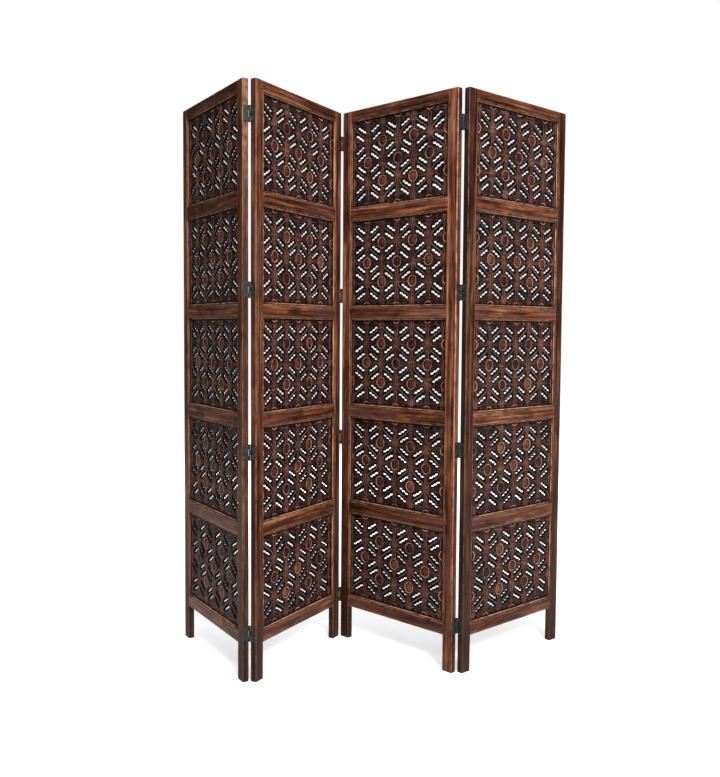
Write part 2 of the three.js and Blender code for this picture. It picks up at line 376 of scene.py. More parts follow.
def build_frame(i):
    nodes = [f"leaf_{i + 1}_frame"]
    face = STILE - BEAD

    def emit(name, mesh):
        place(f"leaf_{i + 1}_{name}", mesh, i, nodes, FRAME_WOOD)

    # stiles: full height, feet and top corners rounded off a little
    prof, wear_and_highlight = member_profile(face, LEAF_T, [1.6, 0.9, 0.9, 1.6])
    for side in ("left", "right"):
        levels = [(0.0, 1.6, 1.0), (0.5, 0.8, 0.45), (1.5, 0.2, 0.0)]
        levels += [(z, 0.0, 0.0) for z in np.linspace(6, LEAF_H - 12, 34)]
        levels += [(LEAF_H - 4.5, 0.25, 0.0), (LEAF_H - 2.2, 1.0, 0.15), (LEAF_H - 0.8, 2.1, 0.5), (LEAF_H, 3.4, 1.0)]
        sections, masks = [], []
        dz = rng.normal(0, 0.10, (len(levels), 1))
        light = board(i, f"{side}_stile")
        for (z, outer, rest), d in zip(levels, dz):
            p = prof.copy()
            mid_s, mid_n = face / 2, LEAF_T / 2
            shrink = 1 - rest / mid_n
            q = p.copy()
            q[:, 1] = mid_n + (p[:, 1] - mid_n) * shrink
            q[:, 0] = face - (face - p[:, 0]) * (1 - outer / face) - rest * (p[:, 0] > mid_s)
            # hand planed: the faces wander by a tenth of a millimetre
            q[:, 1] += np.where(q[:, 1] < 9, 1, -1) * np.clip(abs(d[0]), 0, 0.2)
            s = q[:, 0] if side == "left" else LEAF_W - q[:, 0]
            sections.append(np.column_stack([s, q[:, 1], np.full(len(q), z)]))
            end = 0.8 if (z < 1 or z > LEAF_H - 1.5) else 0.0
            # darker towards the feet
            low = 0.58 * (1 - float(smooth((z - 60) / 560)))
            dirt_and_shade = np.full(len(q), low)
            rubbed = np.maximum(wear_and_highlight, end)
            edge_stain_and_shade, lighter_top = EDGE_LOOK.get((i, side), (0.35, 0.0))
            for e in (0, 1, len(q) - 2, len(q) - 1):
                # the edge is darkened by stain and painted shade in the fold, and kept lighter near the top
                dirt_and_shade[e] = max(dirt_and_shade[e], edge_stain_and_shade * (1 - float(smooth((z - 1400) / 300)) * lighter_top))
                rubbed[e] = max(rubbed[e] * (1 - edge_stain_and_shade), lighter_top * float(smooth((z - 1350) / 350)))
            masks.append(np.column_stack([rubbed, dirt_and_shade, np.full(len(q), light * (0.74 + 0.30 * z / LEAF_H)), np.ones(len(q))]))
        emit(f"{side}_stile", loft("stile", sections, [2, 0, 1], np.concatenate(masks), grain_offset()))
    # rails between the stiles
    rails = [("top_rail", LEAF_H - TOP_RAIL + BEAD, LEAF_H, [0.9, 1.6, 1.6, 0.9])]
    for k in range(4):
        z0 = OPEN_Z[k] - MID_RAIL + BEAD
        rails.append((f"rail_{k + 1}", z0, z0 + MID_RAIL - 2 * BEAD, [0.9] * 4))
    rails.append(("bottom_rail", LEG_H, LEG_H + BOTTOM_RAIL - BEAD, [1.4, 0.9, 0.9, 1.4]))
    for name, z0, z1, soft in rails:
        prof, wear_and_highlight = member_profile(z1 - z0, LEAF_T, soft)
        ss = [face + 0.25, face + 0.6] + list(np.linspace(face + 14, LEAF_W - face - 14, 9)) + [LEAF_W - face - 0.6, LEAF_W - face - 0.25]
        sections, masks = [], []
        light = board(i, name)
        for s in ss:
            q = prof.copy()
            edge = s < face + 0.5 or s > LEAF_W - face - 0.5
            if edge:
                q[:, 1] = 10 + (q[:, 1] - 10) * 0.965
            else:
                q[:, 1] = 10 + (q[:, 1] - 10) * (1 - abs(rng.normal(0, 0.006)))
            sections.append(np.column_stack([np.full(len(q), s), q[:, 1], z0 + q[:, 0]]))
            masks.append(np.column_stack([wear_and_highlight, np.full(len(q), 0.9 if edge else 0.0), np.full(len(q), light), np.ones(len(q))]))
        emit(name, loft(name, sections, [0, 2, 1], np.concatenate(masks), grain_offset()))
    # beads, mitred round each opening on both faces
    sec = np.array(BEAD_SECTION)
    for k, z0 in enumerate(OPEN_Z):
        verts, faces, gs, ms = [], [], [], []
        for back in (False, True):
            n = LEAF_T - sec[:, 1] if back else sec[:, 1]
            corners = [(STILE, z0), (LEAF_W - STILE, z0), (LEAF_W - STILE, z0 + OPEN_H), (STILE, z0 + OPEN_H)]
            out = [(-1, -1), (1, -1), (1, 1), (-1, 1)]
            for side in range(4):
                a, b = side, (side + 1) % 4
                off = grain_offset()
                light = board(i, "bead") - 0.04
                base = len(verts)
                steps = np.linspace(0, 1, 9)
                r = len(sec)
                wob = rng.normal(0, 0.06, len(steps))
                for t_, wo in zip(steps, wob):
                    for (u, _, worn_and_highlight, painted_shade), nn in zip(sec, n):
                        d = BEAD - u
                        pa = (corners[a][0] + out[a][0] * d, corners[a][1] + out[a][1] * d)
                        pb = (corners[b][0] + out[b][0] * d, corners[b][1] + out[b][1] * d)
                        s, z = pa[0] + (pb[0] - pa[0]) * t_, pa[1] + (pb[1] - pa[1]) * t_
                        nw = nn + (wo if 1 < u < 5.9 else 0)
                        verts.append((s, nw, z))
                        g = (s, z, nw) if side in (0, 2) else (z, s, nw)
                        gs.append(np.array(g) * MM + off)
                        # painted shade gathers in the mitred corners
                        corner_shade = max(0.0, 1 - min(t_, 1 - t_) * 14)
                        # painted highlight on the lip of the bottom and right beads at the front
                        lip_highlight = 1.0 if 4.2 < u < 5.9 and side in (0, 1) and not back else 0.0
                        ms.append((max(worn_and_highlight, lip_highlight) * (1 - 0.6 * corner_shade), max(painted_shade, 0.55 * corner_shade), light + 0.5 * lip_highlight, 1))
                for q in range(len(steps) - 1):
                    for j in range(r):
                        jj = (j + 1) % r
                        faces.append((base + q * r + j, base + q * r + jj, base + (q + 1) * r + jj, base + (q + 1) * r + j))
                faces.append(tuple(base + j for j in range(r - 1, -1, -1)))
                faces.append(tuple(base + (len(steps) - 1) * r + j for j in range(r)))
        mesh = bpy.data.meshes.new("bead")
        mesh.from_pydata((np.array(verts) * MM).tolist(), [], faces)
        set_vectors(mesh, "g", np.array(gs))
        set_colours(mesh, "m", np.array(ms))
        finish_mesh(mesh, 50)
        emit(f"bead_{k + 1}", mesh)


# ------------------------------------------------------------------ carved panels
# Work in millimetres about the panel's middle, x along the leaf and y up. n is the depth from the leaf's face.
TILT = math.radians(31)
UC, US = math.cos(TILT), math.sin(TILT)
SLOT_AT = (38.4, 21.0)
GX, GY = 3 * CW, 2 * CH
EDGE_X, EDGE_Y = OPEN_W / 2 + 5.7, OPEN_H / 2 + 5.7
FIELD, TOP, HOLE_N, BACK = 7.6, 6.6, 8.85, 13.5
DISCS = [(i * CW - GX, GY - j * CH) for j in (1, 2, 3) for i in range(1, 6) if (i + j) % 2]
DISCS += [(i * CW - GX, s * 151.0) for i in (1, 3, 5) for s in (-1, 1)]
DISCS += [(s * 214.0, y) for s in (-1, 1) for y in (CH, -CH)]
DISCS = np.array(DISCS)


def bezier(p0, p1, p2, p3, count):
    t = np.linspace(0, 1, count)[:, None]
    p0, p1, p2, p3 = map(np.array, (p0, p1, p2, p3))
    return (1 - t) ** 3 * p0 + 3 * (1 - t) ** 2 * t * p1 + 3 * (1 - t) * t ** 2 * p2 + t ** 3 * p3


def side_line(line, d):
    """The line moved sideways by d."""
    tan = np.gradient(line, axis=0)
    tan /= np.linalg.norm(tan, axis=1)[:, None]
    return line + np.column_stack([-tan[:, 1], tan[:, 0]]) * d


OGEE = bezier((6.5, 0), (7.6, 32.5), (60.8, 33.1), (61.9, 65.6), 15)
OGEE_FINE = bezier((6.5, 0), (7.6, 32.5), (60.8, 33.1), (61.9, 65.6), 80)
VEE = bezier((1.1, 0.0), (1.4, 14), (6.6, 30), (6.3, 65.6), 13)
VEE_FINE = bezier((1.1, 0.0), (1.4, 14), (6.6, 30), (6.3, 65.6), 60)
GOUGES = [((10.5, 0.0), (43.0, 0.0), 1.8, 0.5), ((15.5, 3.4), (46.5, 8.2), 1.35, 0.45)]


def to_slot(p):
    d = np.asarray(p, float) - SLOT_AT
    return np.column_stack([d[:, 0] * UC + d[:, 1] * US, d[:, 0] * US - d[:, 1] * UC])


def from_slot(q):
    q = np.asarray(q, float)
    return np.column_stack([SLOT_AT[0] + q[:, 0] * UC + q[:, 1] * US, SLOT_AT[1] + q[:, 0] * US - q[:, 1] * UC])


def hole_outline():
    q = []
    for u in np.linspace(-18.6, 18.6, 20):
        q.append((u, 4.35 - 2.1 * math.exp(-((abs(u) - 7.2) / 2.4) ** 2) + 1.15 * math.sin(2 * math.pi * u / 14.4)))
    q += [(20.6, 2.6), (21.4, 0.2), (20.8, -2.1)]
    for u in np.linspace(18.8, -18.8, 19):
        q.append((u, -3.05 + 1.05 * math.cos(2 * math.pi * u / 14.4) + 1.15 * math.sin(2 * math.pi * u / 14.4)))
    q += [(-20.8, -2.1), (-21.4, 0.2), (-20.6, 2.6)]
    return np.array(q)


def hollow_outline():
    ridge = to_slot(OGEE_FINE)
    order = np.argsort(ridge[:, 0])
    q = []
    for u in np.linspace(-21, 21, 19):
        q.append((u, 9.3 + 1.25 * math.cos(2 * math.pi * u / 14)))
    q += [(23.7, 5.4), (25.3, 1.8), (25.7, -2.4), (25.4, -6.2)]
    for u in np.linspace(22.5, -20.0, 11):
        q.append((u, float(np.interp(u, ridge[order, 0], ridge[order, 1])) + 2.75))
    q += [(-23.2, -6.0), (-24.9, -2.4), (-25.0, 1.8), (-23.5, 5.4)]
    return np.array(q)


HOLE, HOLLOW = hole_outline(), hollow_outline()


def near(points, line, closed=False):
    """Distance from each point to a line of straight pieces."""
    a = np.asarray(line, float)
    b = np.roll(a, -1, 0) if closed else a[1:]
    a = a if closed else a[:-1]
    best = np.full(len(points), 1e9)
    for p, q in zip(a, b):
        d = q - p
        t = np.clip(((points - p) @ d) / max(d @ d, 1e-12), 0, 1)
        best = np.minimum(best, np.hypot(*(points - (p + t[:, None] * d)).T))
    return best


def within(points, loop):
    x, y = points.T
    hit = np.zeros(len(points), bool)
    for (ax, ay), (bx, by) in zip(loop, np.roll(loop, -1, 0)):
        if ay == by:
            continue
        cross = (ay > y) != (by > y)
        hit ^= cross & (x < (bx - ax) * (y - ay) / (by - ay) + ax)
    return hit


def fold_xy(x, y):
    """A panel point moved to the one cell that the pattern repeats by mirroring, and whether it lies in a real cell."""
    i = np.floor((x + GX) / CW)
    j = np.floor((GY - y) / CH)
    real = (i >= 0) & (i < 6) & (j >= 0) & (j < 4)
    i, j = np.clip(i, 0, 5), np.clip(j, 0, 3)
    fx, fy = x + GX - CW * i, GY - y - CH * j
    fx = np.where(fx < 0, -fx, np.where(fx > CW, 2 * CW - fx, fx))
    fy = np.where(fy < 0, -fy, np.where(fy > CH, 2 * CH - fy, fy))
    a = np.where((i + j) % 2 == 0, fx, CW - fx)
    return np.column_stack([a, fy]), real


RING = np.array([(0.0, 6.65), (4.0, 6.80), (8.0, 7.35), (10.8, 8.2), (12.7, 9.2), (13.9, 9.6), (15.0, 8.6), (16.0, 7.0), (17.2, 6.55), (18.4, 6.85), (19.6, FIELD)])


def relief(x, y):
    """Depth of the carved face, and the four masks: stain and painted shade in the hollows, disc, wear and painted
    highlight, stem.
    """
    p, real = fold_xy(x, y)
    n = np.full(len(p), FIELD)
    # a gentle roll in the ground, high between the slots and the bosses
    n += 0.16 * np.sin(x * 0.21 + 1.3) * np.sin(y * 0.26 + 0.4)
    stem = np.zeros(len(p))
    for q in (p, np.array([CW, CH]) - p):
        half = np.interp(q[:, 1], [0, 10, 22, 34, 46, 66], [13.0, 12.5, 9.5, 6.6, 4.6, 4.8])
        stem = np.maximum(stem, smooth((half + 1.0 - np.abs(q[:, 0])) / 2.0) * (q[:, 1] > -1))
    n -= 0.45 * stem
    hollow_stain_and_shade_mask = np.zeros(len(p))
    for q in (p, np.array([CW, CH]) - p):
        s = to_slot(q)
        inside = (within(s, HOLLOW) | (near(s, HOLLOW, True) < 0.02)) & real
        if not inside.any():
            continue
        si = s[inside]
        dh, df = near(si, HOLE, True), near(si, HOLLOW, True)
        t = dh / np.maximum(dh + df, 1e-6)
        inner = smooth((-2.0 - si[:, 1]) / 4.0) * smooth((24.6 - np.abs(si[:, 0])) / 6.0)
        rim = FIELD - 0.1 + (8.8 - FIELD + 0.1) * inner
        scoop = HOLE_N - (HOLE_N - rim) * t ** (2.0 - 0.6 * inner)
        n[inside] = scoop
        # the scoop's slopes are painted dark, stain with painted shade
        hollow_stain_and_shade_mask[inside] = np.clip((scoop - 7.62) / 0.55, 0, 1)
    # incised fan beside each waist
    for (ax, ay), (bx, by), wa, wb in GOUGES:
        for q in (p, np.array([CW, CH]) - p):
            d = np.array([bx - ax, by - ay])
            t = ((q - (ax, ay)) @ d) / (d @ d)
            off = np.abs((q[:, 0] - ax) * d[1] - (q[:, 1] - ay) * d[0]) / np.hypot(*d)
            half = wa + (wb - wa) * np.clip(t, 0, 1)
            k = np.clip(1 - off / half, 0, 1) * ((t > -0.03) & (t < 1.0)) * smooth((t + 0.03) / 0.1)
            depth = (1.45 - 0.9 * np.clip(t, 0, 1)) * k
            n += np.where(hollow_stain_and_shade_mask > 0, 0, depth)
            # the gouges are painted dark, stain with painted shade
            hollow_stain_and_shade_mask = np.maximum(hollow_stain_and_shade_mask, k * (0.95 - 0.55 * np.clip(t, 0, 1)))
    worn_and_highlight = np.zeros(len(p))
    for (ax, ay), (bx, by), wa, wb in GOUGES:
        for q in (p, np.array([CW, CH]) - p):
            d = np.array([bx - ax, by - ay])
            t = ((q - (ax, ay)) @ d) / (d @ d)
            off = np.abs((q[:, 0] - ax) * d[1] - (q[:, 1] - ay) * d[0]) / np.hypot(*d)
            half = wa + (wb - wa) * np.clip(t, 0, 1)
            # painted highlight on the lands beside each gouge
            land = np.clip(1 - np.abs(off - half - 0.8) / 0.9, 0, 1) * ((t > -0.05) & (t < 0.95)) * (hollow_stain_and_shade_mask < 0.3)
            worn_and_highlight = np.maximum(worn_and_highlight, 0.5 * land * (1 - 0.6 * np.clip(t, 0, 1)))
    # raised lines: the long ogee between the slots, and the vee in each stem; their crests carry wear and painted
    # highlight, their flanks and ditches painted shade
    for q in (p, np.array([CW, CH]) - p):
        d = near(q, OGEE_FINE)
        prof = np.interp(d, [0, 0.55, 1.15, 2.75, 2.9], [TOP, TOP + 0.06, TOP + 0.55, 9.0, 99])
        crest = np.clip(1 - (d - 0.45) / 0.85, 0, 1)
        take = prof < n
        hollow_stain_and_shade_mask = np.where(take, np.clip((prof - 7.2) / 1.2, 0, 1), hollow_stain_and_shade_mask)
        n = np.minimum(n, prof)
        worn_and_highlight = np.maximum(worn_and_highlight, (0.42 + 0.34 * smooth((27 - np.hypot(*(q - SLOT_AT).T)) / 8)) * crest)
        d = near(q, VEE_FINE)
        ditch = np.clip(1 - np.abs(d - 2.1) / 1.3, 0, 1) * (n < 8.2) * (d > 1.0)
        n = n + 0.55 * ditch
        hollow_stain_and_shade_mask = np.maximum(hollow_stain_and_shade_mask, 0.62 * ditch)
        prof = np.interp(d, [0, 0.5, 1.3, 1.4], [TOP + 0.15, TOP + 0.25, 7.6, 99])
        n = np.minimum(n, prof)
        worn_and_highlight = np.maximum(worn_and_highlight, 0.40 * np.clip(1 - (d - 0.5) / 0.9, 0, 1))
    disc = np.zeros(len(p))
    for cx, cy in DISCS:
        r = np.hypot(x - cx, y - cy)
        on = r < 19.61
        if not on.any():
            continue
        # painted shadow in a dark moat round each ring
        hollow_stain_and_shade_mask = np.maximum(hollow_stain_and_shade_mask, 0.6 * np.clip(1 - np.abs(r - 20.9) / 1.7, 0, 1) * (r > 19.6))
        n[on] = np.interp(r[on], RING[:, 0], RING[:, 1])
        disc = np.where(on, np.clip((13.4 - r) / 1.2, 0, 1), disc)
        # wear and painted highlight on the ring's crest
        worn_and_highlight = np.where(on, np.clip(1 - np.abs(r - 17.1) / 2.2, 0, 1) * 1.15, worn_and_highlight)
        # painted shade in the groove inside the ring
        hollow_stain_and_shade_mask = np.where(on, np.clip(1 - np.abs(r - 13.9) / 1.7, 0, 1) * 0.85, hollow_stain_and_shade_mask)
        stem = np.where(on, 0, stem)
    # the margin rises to meet the bead
    rise = smooth(np.maximum((np.abs(x) - (OPEN_W / 2 - 2.0)) / 2.0, (np.abs(y) - (OPEN_H / 2 - 2.0)) / 2.0))
    n = n * (1 - rise) + (TOP + 0.1) * rise
    worn_and_highlight = np.clip(worn_and_highlight * (1 - rise), 0, 1)
    # painted shade round the margin where it meets the frame
    hollow_stain_and_shade_mask = np.maximum(hollow_stain_and_shade_mask, 0.75 * smooth(np.maximum((np.abs(x) - (OPEN_W / 2 - 7.0)) / 6.0, (np.abs(y) - (OPEN_H / 2 - 7.0)) / 6.0)))
    return n, np.column_stack([np.clip(hollow_stain_and_shade_mask, 0, 1), disc, worn_and_highlight, stem])


def border(step):
    xs = np.linspace(-EDGE_X, EDGE_X, int(2 * EDGE_X / step))
    ys = np.linspace(-EDGE_Y, EDGE_Y, int(2 * EDGE_Y / step))
    loop = [(x, -EDGE_Y) for x in xs[:-1]] + [(EDGE_X, y) for y in ys[:-1]]
    loop += [(x, EDGE_Y) for x in xs[::-1][:-1]] + [(-EDGE_X, y) for y in ys[::-1][:-1]]
    return loop


class Plan:
    """Points and lines of one face, then its triangles."""

    def __init__(self):
        self.pts, self.edges = [], []

    def line(self, pts, closed=False, clip=True, avoid=19.8):
        run = []
        for x, y in pts:
            ok = True
            if clip:
                ok = abs(x) < EDGE_X - 1.2 and abs(y) < EDGE_Y - 1.2 and (np.hypot(DISCS[:, 0] - x, DISCS[:, 1] - y) > avoid).all()
            if ok:
                run.append(len(self.pts))
                self.pts.append((float(x), float(y)))
                if len(run) > 1:
                    self.edges.append((run[-2], run[-1]))
            else:
                run = []
        if closed and len(run) == len(pts):
            self.edges.append((run[-1], run[0]))

    def fill(self, step, gap):
        """Loose points where nothing else is near."""
        if not self.pts:
            return
        have = np.array(self.pts)
        cells = {}
        for k, (x, y) in enumerate(have):
            cells.setdefault((int(x // gap), int(y // gap)), []).append(k)
        row = 0
        y = -EDGE_Y + step / 2
        while y < EDGE_Y - 1:
            x = -EDGE_X + step / 2 + (step / 2 if row % 2 else 0)
            while x < EDGE_X - 1:
                cx, cy = int(x // gap), int(y // gap)
                close = any((have[k][0] - x) ** 2 + (have[k][1] - y) ** 2 < gap * gap
                            for i in (-1, 0, 1) for j in (-1, 0, 1) for k in cells.get((cx + i, cy + j), ()))
                if not close:
                    self.pts.append((x, y))
                x += step
            y += step * 0.866
            row += 1

    def triangles(self):
        v, _, f, *_ = delaunay_2d_cdt([Vector(p) for p in self.pts], self.edges, [], 0, 1e-3, False)
        v = np.array([(p.x, p.y) for p in v])
        f = np.array([t for t in f if len(t) == 3], int)
        a, b, c = v[f[:, 0]], v[f[:, 1]], v[f[:, 2]]
        area = (b[:, 0] - a[:, 0]) * (c[:, 1] - a[:, 1]) - (b[:, 1] - a[:, 1]) * (c[:, 0] - a[:, 0])
        f[area < 0] = f[area < 0][:, ::-1]
        return v, f[np.abs(area) > 1e-5]


def real_cells():
    return [(c, r) for r in range(4) for c in range(6)]


def unfold(q, c, r):
    q = np.asarray(q, float)
    x0, y0 = CW * c - GX, GY - CH * r
    x = x0 + q[:, 0] if (c + r) % 2 == 0 else x0 + CW - q[:, 0]
    return np.column_stack([x, y0 - q[:, 1]])


def both_ways(q):
    q = np.asarray(q, float)
    return [q, np.array([CW, CH]) - q]


def hole_loops(grow=0.0):
    loops = []
    ring = HOLE
    if grow:
        mid = np.array([0.0, 0.0])
        d = HOLE - mid
        ring = HOLE + np.column_stack([np.sign(d[:, 0]) * np.minimum(abs(d[:, 0]) / 21.4, 1) * grow, np.where(d[:, 1] > 0, 1, -1) * grow * 0.9])
    for c, r in real_cells():
        for q in both_ways(from_slot(ring)):
            loops.append(unfold(q, c, r))
    return loops


def in_holes(v, ring):
    p, real = fold_xy(v[:, 0], v[:, 1])
    hit = np.zeros(len(v), bool)
    for q in (p, np.array([CW, CH]) - p):
        hit |= within(to_slot(q), ring)
    return hit & real


def circle(cx, cy, r, k, turn=0.0):
    a = np.linspace(0, 2 * math.pi, k, endpoint=False) + turn
    return np.column_stack([cx + r * np.cos(a), cy + r * np.sin(a)])


def face_plan():
    plan = Plan()
    rim = border(26)
    plan.line(rim, closed=True, clip=False)
    for loop in hole_loops():
        plan.line(loop, closed=True, clip=False)
    mid = []
    for h in HOLE:
        # half way from the hole to the hollow's edge
        k = np.argmin(np.hypot(*(HOLLOW - h).T))
        mid.append(h * 0.52 + HOLLOW[k] * 0.48)
    for c, r in real_cells():
        for ring in (np.array(mid), HOLLOW):
            for q in both_ways(from_slot(ring)):
                plan.line(unfold(q, c, r), closed=True, clip=False)
    cells = [(c, r) for r in range(-1, 5) for c in range(-1, 7)]
    for c, r in cells:
        mc, mr = min(max(c, 0), 5), min(max(r, 0), 3)
        lines = [side_line(OGEE, d) for d in (-2.75, -1.15, 0, 1.15, 2.75)]
        vee = [side_line(VEE, d) for d in (-1.3, 0, 1.3)]
        for q in lines:
            xy = unfold(q, mc, mr)
            if c != mc:
                xy[:, 0] = 2 * (CW * (mc + (c > mc)) - GX) - xy[:, 0]
            if r != mr:
                xy[:, 1] = 2 * (GY - CH * (mr + (r > mr))) - xy[:, 1]
            plan.line(xy)
        for v in vee:
            for q in both_ways(v):
                xy = unfold(q, mc, mr)
                if c != mc:
                    xy[:, 0] = 2 * (CW * (mc + (c > mc)) - GX) - xy[:, 0]
                if r != mr:
                    xy[:, 1] = 2 * (GY - CH * (mr + (r > mr))) - xy[:, 1]
                plan.line(xy)
    for c, r in real_cells():
        for (ax, ay), (bx, by), wa, wb in GOUGES:
            t = np.linspace(0, 1, 6)[:, None]
            centre = np.array([ax, ay]) * (1 - t) + np.array([bx, by]) * t
            d = np.array([bx - ax, by - ay]) / math.hypot(bx - ax, by - ay)
            nor = np.array([-d[1], d[0]])
            half = wa + (wb - wa) * t
            for k in (-1, 0, 1):
                if ay == 0 and k < 0:
                    continue
                if ay == 0 and k == 0 and (r > 0 or False):
                    pass
                for q in both_ways(centre + nor * half * k):
                    plan.line(unfold(q, c, r))
    for cx, cy in DISCS:
        for rad, k in ((19.6, 34), (18.4, 28), (17.2, 28), (16.0, 28), (15.0, 26), (13.9, 26), (12.7, 24), (10.8, 20), (8.0, 14), (4.0, 8)):
            pts = circle(cx, cy, rad, k, rad)
            inside = [(x, y) for x, y in pts if abs(x) < EDGE_X - 1.2 and abs(y) < EDGE_Y - 1.2]
            if len(inside) == k:
                plan.line(pts, closed=True, clip=False)
            elif inside:
                start = next((q for q in range(k) if not (abs(pts[q][0]) < EDGE_X - 1.2 and abs(pts[q][1]) < EDGE_Y - 1.2)
                              and abs(pts[(q + 1) % k][0]) < EDGE_X - 1.2 and abs(pts[(q + 1) % k][1]) < EDGE_Y - 1.2), 0)
                plan.line(np.roll(pts, -start, 0), clip=True, avoid=-1)
        if abs(cx) < EDGE_X - 2 and abs(cy) < EDGE_Y - 2:
            plan.line([(cx, cy)], clip=False)
    for y in (-(OPEN_H / 2 - 2.2), OPEN_H / 2 - 2.2, -OPEN_H / 2, OPEN_H / 2):
        plan.line([(x, y) for x in np.linspace(-OPEN_W / 2, OPEN_W / 2, 34)], clip=False)
    for x in (-(OPEN_W / 2 - 2.2), OPEN_W / 2 - 2.2, -OPEN_W / 2, OPEN_W / 2):
        plan.line([(x, y) for y in np.linspace(-OPEN_H / 2, OPEN_H / 2, 24)], clip=False)
    plan.fill(6.2, 3.5)
    return plan, rim


def back_plan(rim):
    plan = Plan()
    plan.line(rim, closed=True, clip=False)
    for loop in hole_loops(0.6):
        plan.line(loop, closed=True, clip=False)
    for cx, cy in DISCS[:7]:
        for rad in (17.4, 16.5, 15.6):
            plan.line(circle(cx, cy, rad, 28), closed=True, clip=False)
    plan.fill(22.0, 12.0)
    return plan


def back_relief(x, y):
    n = np.full(len(x), BACK)
    groove = np.zeros(len(x))
    for cx, cy in DISCS[:7]:
        r = np.hypot(x - cx, y - cy)
        groove = np.maximum(groove, np.clip(1 - np.abs(r - 16.5) / 0.9, 0, 1))
    # the grooves on the back are painted dark, stain with painted shade
    return n - 0.7 * groove, np.column_stack([0.8 * groove, np.zeros(len(x)), np.full(len(x), 0.0), np.full(len(x), 0.15)])


def panel_base():
    plan, rim = face_plan()
    fv, ff = plan.triangles()
    cent = fv[ff].mean(1)
    ff = ff[~in_holes(cent, HOLE)]
    fn, fm = relief(fv[:, 0], fv[:, 1])
    bplan = back_plan(rim)
    bv, bf = bplan.triangles()
    cent = bv[bf].mean(1)
    grown = HOLE + np.column_stack([np.sign(HOLE[:, 0]) * np.minimum(abs(HOLE[:, 0]) / 21.4, 1) * 0.6, np.where(HOLE[:, 1] > 0, 1, -1) * 0.6 * 0.9])
    bf = bf[~in_holes(cent, grown)]
    bn, bmask = back_relief(bv[:, 0], bv[:, 1])

    def finder(v):
        table = {}
        for k, (x, y) in enumerate(v):
            table[(round(x * 20), round(y * 20))] = k
        def find(p):
            kx, ky = round(p[0] * 20), round(p[1] * 20)
            for dx in (0, 1, -1):
                for dy in (0, 1, -1):
                    if (kx + dx, ky + dy) in table:
                        return table[(kx + dx, ky + dy)]
            raise ValueError(f"no point at {p}")
        return find
    find_f, find_b = finder(fv), finder(bv)
    xy = [fv, bv]
    n = [fn, bn]
    masks = [fm, bmask]
    nf = len(fv)
    faces = [ff, bf[:, ::-1] + nf]
    total = nf + len(bv)
    walls = []
    mid_xy, mid_n, mid_m = [], [], []
    for loop, wide in zip(hole_loops(), hole_loops(0.6)):
        top = [find_f(p) for p in loop]
        bottom = [find_b(p) + nf for p in wide]
        ring = list(range(total, total + len(loop)))
        total += len(loop)
        mid_xy.append(loop)
        mid_n.append(np.full(len(loop), BACK - 0.5))
        # the slot's wall is painted dark, stain with painted shade
        mid_m.append(np.tile((0.85, 0, 0, 0), (len(loop), 1)))
        a = np.array(loop)
        area = np.sum(a[:, 0] * np.roll(a[:, 1], -1) - np.roll(a[:, 0], -1) * a[:, 1])
        k = len(loop)
        for q in range(k):
            w = (q + 1) % k
            for lo, hi in ((top, ring), (ring, bottom)):
                quad = (lo[q], lo[w], hi[w], hi[q])
                quad = quad if area < 0 else quad[::-1]
                walls += [(quad[0], quad[1], quad[2]), (quad[0], quad[2], quad[3])]
    k = len(rim)
    top, bottom = [find_f(p) for p in rim], [find_b(p) + nf for p in rim]
    for q in range(k):
        w = (q + 1) % k
        quad = (top[w], top[q], bottom[q], bottom[w])
        walls += [(quad[0], quad[1], quad[2]), (quad[0], quad[2], quad[3])]
    faces.append(np.array(walls))
    xy += mid_xy
    n += mid_n
    masks += mid_m
    xy, n, masks = np.concatenate(xy), np.concatenate(n), np.concatenate(masks)
    faces = np.concatenate(faces)
    # the walls of a slot and its mouth are painted dark, stain with painted shade
    used = np.zeros(len(xy), bool)
    used[faces.ravel()] = True
    index = np.cumsum(used) - 1
    return xy[used], n[used], masks[used], index[faces]


SLIDE = (0.0, -6.5, -4.5, 6.0)
TIGHT = (0.0, 0.0, 0.20, 0.75, 0.70)   # how far each edge of a slot comes in, by row of panels


